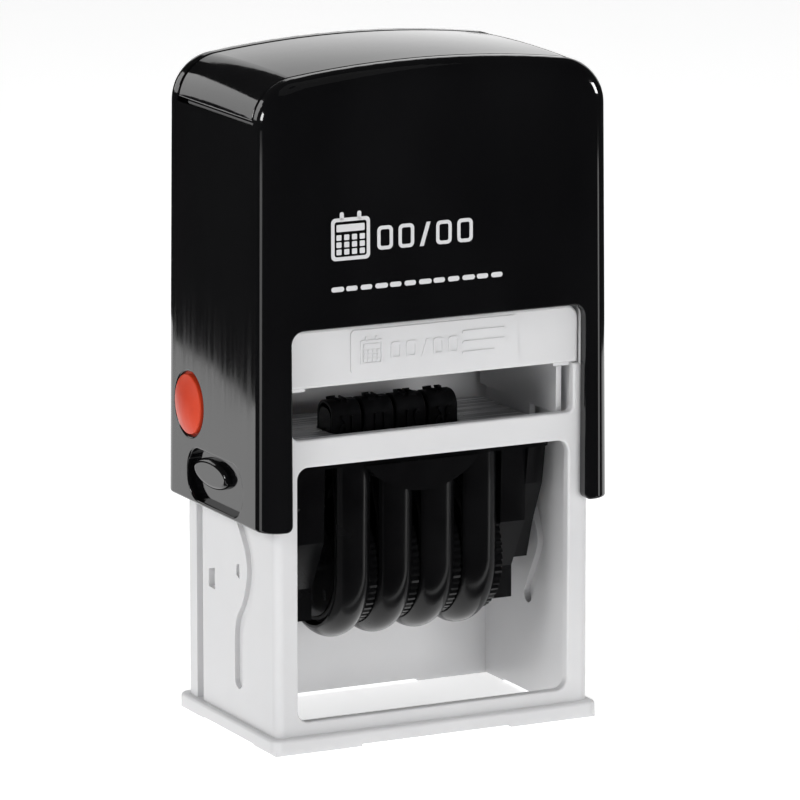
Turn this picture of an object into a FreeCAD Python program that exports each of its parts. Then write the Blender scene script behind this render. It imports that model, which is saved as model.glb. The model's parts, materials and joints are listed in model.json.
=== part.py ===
"""Self-inking rotary date stamp: a press-down cover flips a date platen from the ink pad to the paper.

Frame: X to the right, Y to the back, Z up, origin at the centre of the base on the paper. Millimetres.
At rest the platen faces up to the pad. Pressing the cover down by press_travel turns it half a turn.
"""

import FreeCAD, Part
import math
import os

V = FreeCAD.Vector

# ---- driving dimensions -------------------------------------------------------------------------
press_travel = 27.6  # cover stroke, from rest to the band faces on the paper
pivot_z = 39.0  # platen axle height at rest
guide_arm = 4.5  # distance from the platen axle to the guide pin below it

# frame
frame_x = 26.5  # outer half width
frame_y = 15.9  # outer half depth
frame_side_wall = 2.2
frame_end_wall = 1.5
frame_corner = 1.4
frame_top = 67.4
flange_x = 27.5
flange_y = 17.3
flange_z = (0.45, 2.5)
window_x = 22.8  # half width of the front window
window_z = (4.5, 43.6)
gap_x = 23.6  # half width of the upper opening
gap_z = (47.9, 65.3)
bar_gap_x = 24.6  # the same, higher up where the tray's bar fills it
bar_gap_z = 55.4

# cover
cover_z = 34.45  # lower edge at rest
cover_bottom = (29.35, 18.2)  # outer half width and depth at the lower edge
cover_top = (28.8, 17.8)  # the same, up at the shoulders
crown_z = 103.7
crown_radius = 170.0
shoulder_radius = 7.2
rim_radius = 3.4  # front and back corners of the cover, from the legs up and over the crown
lower_rim_radius = 0.4
cavity = (26.9, 16.3)  # inner half width and depth
cavity_corner = 1.8
cavity_z = 95.6  # the frame's top reaches almost this high inside the pressed cover
ceiling_z = 100.6
ceiling_inset = 2.7  # thickness of the crown over the ceiling
cover_window_x = 24.6
cover_window_z = 64.8
cover_window_corner = 2.0

# yoke that hangs from the cover's ceiling, inside the frame
arm_x = (22.35, 23.25)
arm_y = 4.0
foot_y = 12.6  # half depth of the wide foot of each arm, beside the pad
foot_z = (47.0, 54.4)
yoke_bar_z = (98.0, ceiling_z)
screw_x = 11.0
screw_radius = 0.8
screw_top = 101.8
spigot_radius = 4.6  # centres the spring at both ends
well_radius = 7.5
well_z = (61.3, 66.0)  # the spring's well in the deck, with its floor 1 mm thick

# platen
platen_x = 22.0
plate_y = 11.9
plate_z = (44.1, 45.3)
housing_z = (42.0, 44.1)
band_face_z = pivot_z + 11.4
trunnion_radius = 2.0
crank_x = (23.45, 24.15)
guide_pin_radius = 1.1
guide_pin_x = 25.15
guide_track_x = 25.3
guide_track_half_width = 1.3

# date wheels and bands
wheel_z = 24.9
slit_length = 2.25  # how far a slit runs on from each end of the opening
date_opening = (10.95, 3.6)  # half width and depth of the plate's opening round the bands
wheel_pitch = 7.1
band_pitch = 5.45
band_count = 4
drum_radius = 8.2
knurl_radius = 9.8
knurl_depth = 0.3
knurl_teeth = 56
shaft_radius = 1.25
shaft_end_x = 18.6
inner_cheek_x = (14.95, 19.2)
outer_cheek_x = (19.1, platen_x)
trunnion_end_x = 20.6
opening_depth = (40, 50)  # cuts for the bands run between these heights
band_half_width = 2.45
band_inner = 8.35
band_outer = 9.35
bridge_y = 2.0  # half depth of the nose under the bands
nose_y = (2.2, 3.2)  # inner and outer half depth of a band over the nose
guard_half_width = 2.8
guard_inner = 9.6
guard_edge = 9.95
guard_outer = 11.6

# top insert
insert_y = 13.0  # half depth
insert_z = 95.9  # where its ends stop on the cover's sides
insert_base_z = 80  # it is shaped down to here, then cut off at insert_z
insert_thickness = 0.9
insert_inset = 0.05  # its edges lie this far under the crown
insert_rise = 0.3  # the middle of the domed insert stands this much above its front and back edges
insert_groove = 0.22  # gap round the insert
insert_end_gap = 0.6  # gap under its two ends

# ink tray
tray_x = 21.6
tray_z = (56.2, 61.0)
tray_bar_x = 24.4
tray_bar_y = (-15.8, -14.6)
tray_bar_z = (55.6, 64.4)
tray_bar_corner = 2.0  # its top corners follow those of the cover's window, which it slides through
tray_wall = 1.2
tray_y = (-15.1, 13.9)
tray_hollow_y = (-13.2, 12.9)
panel_x = 14.0  # half width of the raised panel on the bar
panel_z = (57.2, 63.8)
panel_height = 0.2
pad_half = (20.2, 12.6)
pad_z = (55.2, 59.75)
ledge_x = 20.9  # inner edge of the ledges that the tray slides on
ledge_z = (54.9, 56.1)
deck_ledge_x = 22.9
deck_z = 65.4  # underside of the spring deck's plate

# lock buttons
button_y = 8.75
button_z = 49.45
button_radius = 4.6
button_hole_radius = 5.0
button_lip_x = 28.6  # inner face of the lip that the button's flange rests against
button_flange_x = (28.1, 28.55)
button_flange_radius = 5.6
button_top_x = 30.35
dome_radius = 12.5
seat_radius = 6.0
retainer_x = (26.9, 27.1)
retainer_hole_radius = 4.2

# oval recesses in the cover's sides, at the platen axle
oval_y = (-10.2, 9.2)
oval_z = (35.15, 43.1)
oval_floor_x = 28.1
cap_y = (-4.3, 7.5)
cap_z = (37.7, 42.2)

FRONT = -1
BACK = 1
LEFT = -1
RIGHT = 1


# ---- shape helpers ------------------------------------------------------------------------------
def box(x, y, z):
    """Box between the low and high limits x, y and z."""
    return Part.makeBox(x[1] - x[0], y[1] - y[0], z[1] - z[0], V(x[0], y[0], z[0]))


def mirrored_box(side, x, y, z):
    """Box on the side of +X (side 1) or -X (side -1); x is given as distances from the middle."""
    limits = sorted((side * x[0], side * x[1]))
    return box(limits, y, z)


def rod_x(radius, x, y, z):
    """Cylinder along X between the limits x, in either order, on the line through y and z."""
    low, high = sorted(x)
    return Part.makeCylinder(radius, high - low, V(low, y, z), V(1, 0, 0))


def rod_z(radius, x, y, z):
    """Upright cylinder at x, y between the limits z."""
    return Part.makeCylinder(radius, z[1] - z[0], V(x, y, z[0]), V(0, 0, 1))


def joined(shapes):
    """One shape from several, with the seams between coplanar faces removed."""
    result = shapes[0]
    if len(shapes) > 1:
        result = result.fuse(shapes[1:])
    return result.removeSplitter()


def in_xz(y):
    """Places an outline's (a, b) on the plane of constant y, as x and z."""
    return lambda a, b: V(a, y, b)


def in_yz(x):
    """Places an outline's (a, b) on the plane of constant x, as y and z."""
    return lambda a, b: V(x, a, b)


def in_xy(z):
    """Places an outline's (a, b) on the plane of constant z, as x and y."""
    return lambda a, b: V(a, b, z)


def polygon(points, place):
    """Face with straight edges through the points."""
    return Part.Face(Part.makePolygon([place(a, b) for a, b in points + points[:1]]))


def arc(place, centre, radius, start, end):
    """Arc edge about centre from angle start to angle end, in degrees."""
    points = []
    for angle in (start, (start + end) / 2, end):
        turn = math.radians(angle)
        points.append(place(centre[0] + radius * math.cos(turn), centre[1] + radius * math.sin(turn)))
    return Part.Arc(*points).toShape()


def closed_wire(edges):
    """Wire through the edges in order, with straight lines across the gaps between them."""
    whole = []
    for i, edge in enumerate(edges):
        whole.append(edge)
        tail = edge.Vertexes[-1].Point
        head = edges[(i + 1) % len(edges)].Vertexes[0].Point
        if tail.distanceToPoint(head) > 1e-6:
            whole.append(Part.makeLine(tail, head))
    return Part.Wire(whole)


def rounded_wire(a, b, radius, place):
    """Rectangle between the limits a and b with round corners."""
    corners = (
        ((a[0] + radius, b[0] + radius), 180),
        ((a[1] - radius, b[0] + radius), 270),
        ((a[1] - radius, b[1] - radius), 0),
        ((a[0] + radius, b[1] - radius), 90),
    )
    return closed_wire([arc(place, centre, radius, turn, turn + 90) for centre, turn in corners])


def ellipse_face(centre, half):
    """Ellipse on the plane of constant x through centre, with the half sizes along Y and Z."""
    ends = (centre + V(0, half[0], 0), centre + V(0, 0, half[1]))
    return Part.Face(Part.Wire([Part.Ellipse(*ends, centre).toShape()]))


def rounded_block(half, radius, z):
    """Upright block with round vertical corners, centred on the Z axis."""
    wire = rounded_wire((-half[0], half[0]), (-half[1], half[1]), radius, in_xy(z[0]))
    return Part.Face(wire).extrude(V(0, 0, z[1] - z[0]))


def rounded_window(x, z, radius, y):
    """Block through a front or back wall, with round corners in the plane of the wall."""
    return Part.Face(rounded_wire(x, z, radius, in_xz(y[0]))).extrude(V(0, y[1] - y[0], 0))


def curved_slot(centre, half_width, x):
    """Slot with round ends along the centre line, a list of (y, z), between the limits x."""
    place = in_yz(x[0])
    left = []
    right = []
    tangents = []
    for i, point in enumerate(centre):
        before = centre[max(i - 1, 0)]
        after = centre[min(i + 1, len(centre) - 1)]
        length = math.hypot(after[0] - before[0], after[1] - before[1])
        tangent = ((after[0] - before[0]) / length, (after[1] - before[1]) / length)
        tangents.append(tangent)
        left.append(place(point[0] - half_width * tangent[1], point[1] + half_width * tangent[0]))
        right.append(place(point[0] + half_width * tangent[1], point[1] - half_width * tangent[0]))
    first = place(centre[0][0] - half_width * tangents[0][0], centre[0][1] - half_width * tangents[0][1])
    last = place(centre[-1][0] + half_width * tangents[-1][0], centre[-1][1] + half_width * tangents[-1][1])
    side_a = Part.BSplineCurve()
    side_a.interpolate(left)
    side_b = Part.BSplineCurve()
    side_b.interpolate(right)
    edges = [
        side_a.toShape(),
        Part.Arc(left[-1], last, right[-1]).toShape(),
        side_b.toShape(),
        Part.Arc(left[0], first, right[0]).toShape(),
    ]
    face = Part.Face(Part.Wire(Part.__sortEdges__(edges)))
    return face.extrude(V(x[1] - x[0], 0, 0))


def rounded_edges(shape, radius, edges):
    """The shape with these edges rounded, or None where they can't take the radius."""
    try:
        result = shape.makeFillet(radius, edges)
    except (Part.OCCError, ValueError):
        return None
    sound = result.Solids and result.isValid() and all(solid.isClosed() for solid in result.Solids)
    return result if sound else None


def softened(shape, radius, wanted):
    """Rounds the edges that wanted() accepts; an edge that can't take the radius stays sharp."""
    if len(shape.Solids) == 1:
        shape = shape.Solids[0]
    edges = [edge for edge in shape.Edges if wanted(edge)]
    whole = rounded_edges(shape, radius, edges)
    if whole:
        return whole
    for edge in edges:
        middle = edge.CenterOfMass
        same = [e for e in shape.Edges if e.CenterOfMass.distanceToPoint(middle) < 1e-4]
        trial = rounded_edges(shape, radius, same[:1]) if same else None
        if trial:
            shape = trial
    return shape


def along(edge, axis):
    """True for a straight edge along the named axis."""
    size = (edge.BoundBox.XLength, edge.BoundBox.YLength, edge.BoundBox.ZLength)
    others = [size[i] for i in range(3) if i != "XYZ".index(axis)]
    return size["XYZ".index(axis)] > 0.5 and max(others) < 1e-4


# ---- frame --------------------------------------------------------------------------------------
def side_groove_line():
    """Centre line of the S-shaped groove outside each side wall, as (y, z) from top to bottom."""
    return [
        (2.7, 41.0), (-0.6, 37.4), (-4.4, 32.5), (-6.5, 29.2), (-7.1, 25.9), (-6.2, 22.2),
        (-4.9, 19.7), (-3.4, 17.8), (-2.8, 16.0), (-2.7, 13.6), (-2.7, 10.0), (-2.7, 8.6),
    ]


def guide_pin_line():
    """Path of the guide pin as the platen turns half a turn over the whole stroke, as (y, z)."""
    line = []
    for step in range(17):
        share = step / 16
        turn = math.pi * share
        height = pivot_z - press_travel * share - guide_arm * math.cos(turn)
        line.append((-guide_arm * math.sin(turn), height))
    return line


def catch_outline():
    """Corners of the button's catch, as (y, z)."""
    return [(5.95, 48.95), (7.55, 48.95), (7.55, 51.0), (6.2, 51.45)]


def notch_outline(drop):
    """Corners of the notch that the catch enters, as (y, z), lowered by drop."""
    return [(5.6, 48.5 - drop), (7.9, 48.6 - drop), (7.9, 51.3 - drop), (5.7, 51.9 - drop)]


def frame_shell():
    """White body: four walls, base flange, front window, crossbar and upper opening."""
    inner_x = frame_x - frame_side_wall
    inner_y = frame_y - frame_end_wall
    walls = rounded_block((frame_x, frame_y), frame_corner, (flange_z[0], frame_top))
    flange = rounded_block((flange_x, flange_y), 1.6, flange_z)
    flange = softened(flange, 0.6, lambda e: e.BoundBox.ZMin > flange_z[1] - 0.01)
    shell = joined([walls, flange])
    shell = shell.cut(box((-inner_x, inner_x), (-inner_y, inner_y), (-1, frame_top + 1)))
    front = (-frame_y - 1, -inner_y + 0.5)
    shell = shell.cut(rounded_window((-window_x, window_x), window_z, 1.8, front))
    shell = shell.cut(rounded_window((-gap_x, gap_x), gap_z, 1.0, front))
    shell = shell.cut(box((-bar_gap_x, bar_gap_x), front, (bar_gap_z, gap_z[1])))
    push_slot = rounded_window((-12, 12), (57.0, 60.8), 1.0, (inner_y - 1, frame_y + 1))
    back_recess = rounded_window((-19, 19), (7, 52), 2.0, (frame_y - 0.5, frame_y + 1))
    shell = shell.cut([push_slot, back_recess])
    shell = softened(shell, 0.35, front_window_rim)
    for side in (LEFT, RIGHT):
        shell = shell.cut(side_cuts(side))
        ledges = [tray_ledge(side, end) for end in (FRONT, BACK)]
        ledges += [deck_ledge(side, end) for end in (FRONT, BACK)]
        shell = joined([shell] + ledges)
    return shell


def front_window_rim(edge):
    """True for the edges of the front openings on the frame's front face."""
    limits = edge.BoundBox
    on_front = limits.YMin > -frame_y - 0.01 and limits.YMax < -frame_y + 0.01
    return on_front and abs(edge.CenterOfMass.x) < bar_gap_x + 0.1 and limits.ZMin > 3


def side_cuts(side):
    """Grooves and notches in one side wall: outside for the cover, inside for the guide pin."""
    outer = (side * (frame_x - 0.8), side * (frame_x + 1))
    deep = (side * (frame_x - 1.0), side * (frame_x + 1))
    inner = (side * (frame_x - frame_side_wall - 1), side * guide_track_x)
    rear = [(10.0, flange_z[1]), (12.2, flange_z[1]), (12.2, frame_top + 1), (10.0, frame_top + 1)]
    slit = [(-3.1, 24.4), (-2.0, 24.9), (-2.1, 26.5), (-3.1, 26.7)]
    cuts = [
        curved_slot(side_groove_line(), 1.33, outer),
        curved_slot(guide_pin_line(), guide_track_half_width, inner),
    ]
    for points in (rear, notch_outline(0), notch_outline(press_travel), slit):
        cuts.append(polygon(points, in_yz(deep[0])).extrude(V(deep[1] - deep[0], 0, 0)))
    return cuts


def end_limits(end, near, far):
    """Y limits from near to far, measured from the middle towards the front or the back."""
    return sorted((end * near, end * far))


def tray_ledge(side, end):
    """Corner ledge that the ink tray slides on."""
    wall = frame_x - frame_side_wall
    return mirrored_box(side, (ledge_x, wall), end_limits(end, 5.0, frame_y - frame_end_wall), ledge_z)


def deck_ledge(side, end):
    """Corner ledge that the spring deck rests on."""
    wall = frame_x - frame_side_wall
    limits = end_limits(end, 9.0, frame_y - frame_end_wall)
    return mirrored_box(side, (deck_ledge_x, wall), limits, (deck_z - 1.4, deck_z))


def foot_pads():
    """Raised pads under the four corners of the base, each an L."""
    pads = []
    for side in (LEFT, RIGHT):
        for end in (FRONT, BACK):
            along_x = mirrored_box(side, (12.6, 27.1), end_limits(end, 14.6, 16.9), (0, flange_z[0]))
            along_y = mirrored_box(side, (24.6, 27.1), end_limits(end, 9.0, 16.9), (0, flange_z[0]))
            pads.append(joined([along_x, along_y]))
    return Part.makeCompound(pads)


def spring_deck():
    """Plate across the frame's top, with a well for the return spring and notches for the yoke."""
    wall_x = frame_x - frame_side_wall
    wall_y = frame_y - frame_end_wall
    plate = box((-wall_x, wall_x), (-wall_y, wall_y), (deck_z, frame_top))
    well = rod_z(well_radius + 0.9, 0, 0, well_z)
    well_floor = well_z[0] + 1
    spigot = rod_z(spigot_radius, 0, 0, (well_floor, well_floor + 2))
    deck = joined([plate, well]).cut(rod_z(well_radius, 0, 0, (well_floor, frame_top + 1)))
    deck = joined([deck, spigot])
    notch_y = (-arm_y - 0.4, arm_y + 0.4)
    for side in (LEFT, RIGHT):
        deck = deck.cut(mirrored_box(side, (arm_x[0] - 0.25, wall_x + 1), notch_y, (60, 70)))
    return deck


def rounded_window_flat(x, y, radius, z):
    """Upright hole with round corners in a level plate."""
    return Part.Face(rounded_wire(x, y, radius, in_xy(z[0]))).extrude(V(0, 0, z[1] - z[0]))


# ---- ink tray -----------------------------------------------------------------------------------
def ink_tray():
    """Drawer for the pad: open below, its front bar fills the frame's upper opening."""
    face_y = tray_bar_y[0]
    body = box((-tray_x, tray_x), tray_y, tray_z)
    hollow_x = tray_x - tray_wall
    hollow = box((-hollow_x, hollow_x), tray_hollow_y, (tray_z[0] - 1, tray_z[1] - tray_wall))
    bar = box((-tray_bar_x, tray_bar_x), tray_bar_y, tray_bar_z)
    bar = softened(bar, tray_bar_corner, lambda e: along(e, "Y") and e.BoundBox.ZMin > tray_z[1])
    bar = softened(bar, 0.45, lambda e: e.BoundBox.YMax < face_y + 0.01)
    panel = rounded_window((-panel_x, panel_x), panel_z, 0.6, (face_y - panel_height, face_y + 0.5))
    return joined([body.cut(hollow), bar, panel])


def ink_pad():
    """Felt pad held in the tray; its lower face inks the bands."""
    return rounded_block(pad_half, 1.0, pad_z)


# ---- cover --------------------------------------------------------------------------------------
def crown_outline(inset, bottom, y):
    """Face of the cover's front view at y, from the level bottom up over the crown, set in by inset."""
    half = cover_top[0] - inset
    radius = shoulder_radius - inset
    place = in_xz(y)
    crown_centre = crown_z - crown_radius
    shoulder_x = cover_top[0] - shoulder_radius
    reach = crown_radius - shoulder_radius
    shoulder_z = crown_centre + math.sqrt(reach * reach - shoulder_x * shoulder_x)
    tilt = math.degrees(math.asin(shoulder_x / reach))
    low_half = half + (shoulder_z - bottom) * (cover_bottom[0] - cover_top[0]) / (shoulder_z - cover_z)
    edges = [
        Part.makeLine(place(-low_half, bottom), place(low_half, bottom)),
        Part.makeLine(place(low_half, bottom), place(half, shoulder_z)),
        arc(place, (shoulder_x, shoulder_z), radius, 0, 90 - tilt),
        arc(place, (0, crown_centre), crown_radius - inset, 90 - tilt, 90 + tilt),
        arc(place, (-shoulder_x, shoulder_z), radius, 90 + tilt, 180),
        Part.makeLine(place(-half, shoulder_z), place(-low_half, bottom)),
    ]
    return Part.Face(Part.Wire(edges))


def crown_block(inset, bottom, y):
    """Solid under the crown between the limits y."""
    return crown_outline(inset, bottom, y[0]).extrude(V(0, y[1] - y[0], 0))


def cover_shell():
    """Glossy press-down housing, open below, with a window front and back."""
    outer = crown_block(0, cover_z, (-25, 25)).common(end_view_block())
    outer = softened(outer, rim_radius, crown_rim)
    outer = softened(outer, lower_rim_radius, lambda e: e.BoundBox.ZMax < cover_z + 0.01)
    inside = rounded_block(cavity, cavity_corner, (cover_z - 1, cavity_z))
    attic = rounded_block(cavity, cavity_corner, (cavity_z - 0.5, ceiling_z))
    attic = attic.common(crown_block(ceiling_inset, cavity_z - 0.5, (-25, 25)))
    shell = outer.cut([inside, attic])
    shell = shell.cut(cover_window())
    shell = softened(shell, 0.35, cover_window_rim)
    shell = shell.cut(insert_space())
    shell = softened(shell, 0.25, insert_space_rim)
    for side in (LEFT, RIGHT):
        shell = shell.cut(cover_side_cuts(side))
        shell = softened(shell, 0.3, lambda e, side=side: oval_rim(e, side))
        shell = joined([shell] + cover_ribs(side))
        shell = shell.cut(rod_z(screw_radius, side * screw_x, 0, (ceiling_z - 1, screw_top)))
    return shell


def end_view_block():
    """The cover's end view, with its slight draft, as a solid along X."""
    top = crown_z + 1
    slope = (cover_bottom[1] - cover_top[1]) / (crown_z - cover_z)
    half = cover_bottom[1] - slope * (top - cover_z)
    points = [(-cover_bottom[1], cover_z), (cover_bottom[1], cover_z), (half, top), (-half, top)]
    return polygon(points, in_yz(-30)).extrude(V(60, 0, 0))


def crown_rim(edge):
    """True for the edges where the crown and the sides meet the front and back faces."""
    limits = edge.BoundBox
    return abs(edge.CenterOfMass.y) > cover_top[1] - 0.1 and limits.ZMax > cover_z + 1


def cover_window():
    """Opening from the cover's lower edge, front and back; the legs beside it end in round corners."""
    place = in_xz(-25)
    leg = 1.1
    corner = cover_window_corner
    low = cover_z + leg
    high = cover_window_z - corner
    edges = [
        arc(place, (cover_window_x + leg, low), leg, 270, 180),
        arc(place, (cover_window_x - corner, high), corner, 0, 90),
        arc(place, (corner - cover_window_x, high), corner, 90, 180),
        arc(place, (-cover_window_x - leg, low), leg, 0, -90),
    ]
    return Part.Face(closed_wire(edges)).extrude(V(0, 50, 0))


def cover_window_rim(edge):
    """True for the outer edges of the windows in the cover's front and back."""
    limits = edge.BoundBox
    outside = abs(edge.CenterOfMass.y) > cover_top[1]
    beside = abs(edge.CenterOfMass.x) < cover_window_x + 1.2
    return outside and beside and limits.ZMax < cover_window_z + 0.2 and limits.YLength < 1.0


def insert_space():
    """Recess over the crown and down both ends for the top insert."""
    half = insert_y + insert_groove
    outer = box((-35, 35), (-half, half), (insert_z - insert_end_gap, crown_z + 2))
    return outer.cut(crown_block(insert_thickness + 0.1, 80, (-half - 1, half + 1)))


def on_outer_skin(point):
    """True for a point on the cover's outer face over the crown and down its sides."""
    skin = 0.03
    within = crown_block(-skin, 80, (-20, 20)).isInside(point, 1e-4, True)
    return within and not crown_block(skin, 80, (-20, 20)).isInside(point, 1e-4, True)


def insert_space_rim(edge):
    """True for the outer edges of the recess for the top insert."""
    middle = edge.valueAt((edge.FirstParameter + edge.LastParameter) / 2)
    half = insert_y + insert_groove
    return abs(middle.y) < half + 0.01 and on_outer_skin(middle)


def cover_side_cuts(side):
    """Oval recess at the platen axle, and the button's hole with its wider seat inside."""
    radius = 0.47 * (oval_z[1] - oval_z[0])
    oval = Part.Face(rounded_wire(oval_y, oval_z, radius, in_yz(side * oval_floor_x)))
    oval = oval.extrude(V(side * 3, 0, 0))
    hole = rod_x(button_hole_radius, (side * 28, side * 31), button_y, button_z)
    seat = rod_x(seat_radius, (side * 26, side * button_lip_x), button_y, button_z)
    return [oval, hole, seat]


def oval_rim(edge, side):
    """True for the outer edge of the oval recess and of the button's hole in one side."""
    limits = edge.BoundBox
    outside = min(side * limits.XMin, side * limits.XMax) > cover_top[0]
    low_enough = limits.ZMin > oval_z[0] - 0.1 and limits.ZMax < button_z + button_hole_radius + 0.1
    return outside and low_enough and abs(edge.CenterOfMass.y) < button_y + button_hole_radius


def cover_ribs(side):
    """Two ribs inside one side wall that ride in the frame's rear groove, above and below the button."""
    lower = mirrored_box(side, (25.8, 27.2), (10.3, 11.9), (36.0, 42.0))
    upper = mirrored_box(side, (25.8, 27.2), (10.3, 11.9), (56.5, 92.0))
    return [lower, upper]


def top_insert():
    """Slightly domed strip over the crown that wraps down both ends; it covers the cover's ceiling."""
    outline = crown_outline(insert_inset, insert_base_z, 0)
    outline.translate(V(0, 0, insert_rise))
    dome_radius_y = (insert_y * insert_y + insert_rise * insert_rise) / (2 * insert_rise)
    pivot = V(0, 0, crown_z - insert_inset + insert_rise - dome_radius_y)
    half_sweep = 4
    outline.rotate(pivot, V(1, 0, 0), -half_sweep)
    outer = outline.revolve(pivot, V(1, 0, 0), 2 * half_sweep)
    outer = outer.common(box((-35, 35), (-insert_y, insert_y), (insert_base_z - 0.5, crown_z + 2)))
    inner = crown_block(insert_inset + insert_thickness, insert_base_z - 1, (-insert_y - 1, insert_y + 1))
    below = box((-35, 35), (-20, 20), (insert_base_z - 2, insert_z))
    return softened(outer.cut([inner, below]), 0.35, insert_rim)


def insert_rim(edge):
    """True for the insert's outer edges."""
    middle = edge.valueAt((edge.FirstParameter + edge.LastParameter) / 2)
    at_side = abs(abs(middle.y) - insert_y) < 0.01 or middle.z < insert_z + 0.01
    return at_side and not crown_block(0.3, 80, (-20, 20)).isInside(middle, 1e-3, True)


def axle_cap(side):
    """Glossy cap in the oval recess, over the cover's bearing for the platen axle."""
    centre = V(side * oval_floor_x, (cap_y[0] + cap_y[1]) / 2, (cap_z[0] + cap_z[1]) / 2)
    half = ((cap_y[1] - cap_y[0]) / 2, (cap_z[1] - cap_z[0]) / 2)
    height = 1.1
    cap = ellipse_face(centre, half).extrude(V(side * height, 0, 0))
    top = oval_floor_x + height
    return softened(cap, 0.7, lambda e: abs(abs(e.CenterOfMass.x) - top) < 0.01)


def platen_yoke():
    """U-shaped carrier under the cover's ceiling: a bar and two arms with bearings for the platen."""
    bar = box((-arm_x[1], arm_x[1]), (-6, 6), yoke_bar_z)
    ring = rod_z(10.5, 0, 0, yoke_bar_z)
    spigot = rod_z(spigot_radius, 0, 0, (yoke_bar_z[0] - 1.6, yoke_bar_z[1]))
    pieces = [bar, ring, spigot]
    for side in (LEFT, RIGHT):
        pieces.append(mirrored_box(side, arm_x, (-arm_y, arm_y), (pivot_z, yoke_bar_z[1])))
        pieces.append(rod_x(arm_y, (side * arm_x[0], side * arm_x[1]), 0, pivot_z))
        foot = mirrored_box(side, arm_x, (-foot_y, foot_y), foot_z)
        pieces.append(softened(foot, 0.3, lambda e: along(e, "Y") and e.BoundBox.ZMax < foot_z[0] + 0.01))
    yoke = joined(pieces).common(crown_block(ceiling_inset + 0.05, 30, (-20, 20)))
    for side in (LEFT, RIGHT):
        yoke = yoke.cut(rod_x(trunnion_radius + 0.05, (side * 20, side * 25), 0, pivot_z))
        through = (yoke_bar_z[0] - 1, yoke_bar_z[1] + 1)
        yoke = yoke.cut(rod_z(screw_radius + 0.25, side * screw_x, 0, through))
    return yoke


def yoke_screws():
    """Two screws that hold the yoke up against the ceiling."""
    screws = []
    seat = yoke_bar_z[0]
    slot = (seat - 1.3, seat - 0.6)
    for side in (LEFT, RIGHT):
        x = side * screw_x
        head = rod_z(1.9, x, 0, (seat - 1.2, seat))
        shank = rod_z(screw_radius, x, 0, (seat, screw_top))
        cross = [box((x - 1.1, x + 1.1), (-0.2, 0.2), slot), box((x - 0.2, x + 0.2), (-1.1, 1.1), slot)]
        screws.append(joined([head, shank]).cut(cross))
    return Part.makeCompound(screws)


def return_spring():
    """Compression spring from the deck's well up to the yoke."""
    wire_radius = 0.45
    coil_radius = 5.9
    low = well_z[0] + 1 + wire_radius
    high = yoke_bar_z[0] - wire_radius
    turns = 8
    helix = Part.makeHelix((high - low) / turns, high - low, coil_radius)
    start = Part.Wire([Part.Circle(V(coil_radius, 0, 0), V(0, 1, 0), wire_radius).toShape()])
    coil = Part.Wire(helix.Edges).makePipeShell([start], True, True)
    coil.translate(V(0, 0, low))
    return coil


# ---- lock buttons -------------------------------------------------------------------------------
def lock_button(side):
    """Domed button with a flange behind the cover's lip and a catch that enters the frame's notches."""
    low, high = button_flange_x
    flange = rod_x(button_flange_radius, (-low, -high), button_y, button_z)
    dome = Part.makeSphere(dome_radius, V(dome_radius - button_top_x, button_y, button_z))
    cap = dome.common(rod_x(button_radius, (-low, -button_top_x - 1), button_y, button_z))
    catch_x = 26.7
    catch = polygon(catch_outline(), in_yz(-catch_x)).extrude(V(catch_x - high, 0, 0))
    button = joined([flange, softened(cap, 0.25, dome_rim), catch])
    return button if side == LEFT else button.mirror(V(0, 0, 0), V(1, 0, 0))


def dome_rim(edge):
    """True for the edge round a button's dome."""
    return abs(edge.CenterOfMass.x) > button_lip_x and edge.BoundBox.YLength > button_radius


def button_retainer(side):
    """Thin ring pressed into the button's seat from inside the cover."""
    ring = rod_x(seat_radius, (side * retainer_x[0], side * retainer_x[1]), button_y, button_z)
    return ring.cut(rod_x(retainer_hole_radius, (side * 26, side * 28), button_y, button_z))


# ---- platen -------------------------------------------------------------------------------------
def band_x(number):
    """Middle of a wheel and of its band down at the wheel; number runs from 0."""
    return (number - (band_count - 1) / 2) * wheel_pitch


def band_top_x(number):
    """Middle of a band up at the printing face."""
    return (number - (band_count - 1) / 2) * band_pitch


def die_plate():
    """Grey plate round the bands, which carries the text die."""
    plate = rounded_block((platen_x, plate_y), 1.0, plate_z)
    half_x, half_y = date_opening
    opening = rounded_window_flat((-half_x, half_x), (-half_y, half_y), 1.5, opening_depth)
    slits = box((-half_x - slit_length, half_x + slit_length), (-0.3, 0.3), opening_depth)
    return plate.cut([opening, slits])


def housing_cheek(side, x, outline):
    """Cheek of the platen housing between the distances x, from half of its symmetric outline."""
    whole = outline + [(-y, z) for y, z in reversed(outline)]
    face = polygon(whole, in_yz(side * x[0]))
    return face.extrude(V(side * (x[1] - x[0]), 0, 0))


def platen_housing():
    """Black moulding: a top plate and, at each end, an inner cheek for the shaft and an outer one."""
    top = rounded_block((platen_x, 11.5), 1.0, housing_z)
    pieces = [top]
    cheek_top = housing_z[0] + 0.1
    inner_outline = [(4.2, 17.0), (4.2, 22.0), (8.6, 30.0), (9.0, cheek_top)]
    outer_outline = [(3.9, 23.1), (5.7, 28.8), (8.9, 35.7), (9.9, 41.5), (9.9, cheek_top)]
    for side in (LEFT, RIGHT):
        pieces.append(housing_cheek(side, inner_cheek_x, inner_outline))
        pieces.append(housing_cheek(side, outer_cheek_x, outer_outline))
        pieces.append(rod_x(3.0, (side * 14.9, side * 15.2), 0, wheel_z))
    housing = joined(pieces)
    housing = housing.cut(rounded_window_flat((-11.4, 11.4), (-5.2, 5.2), 1.5, opening_depth))
    for side in (LEFT, RIGHT):
        housing = housing.cut(rod_x(trunnion_radius, (side * trunnion_end_x, side * 24), 0, pivot_z))
        housing = housing.cut(rod_x(shaft_radius, (side * 14, side * shaft_end_x), 0, wheel_z))
        housing = housing.cut(mirrored_box(side, (16.6, 18.8), (-6.6, 12), (29, 42)))
    return housing


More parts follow.
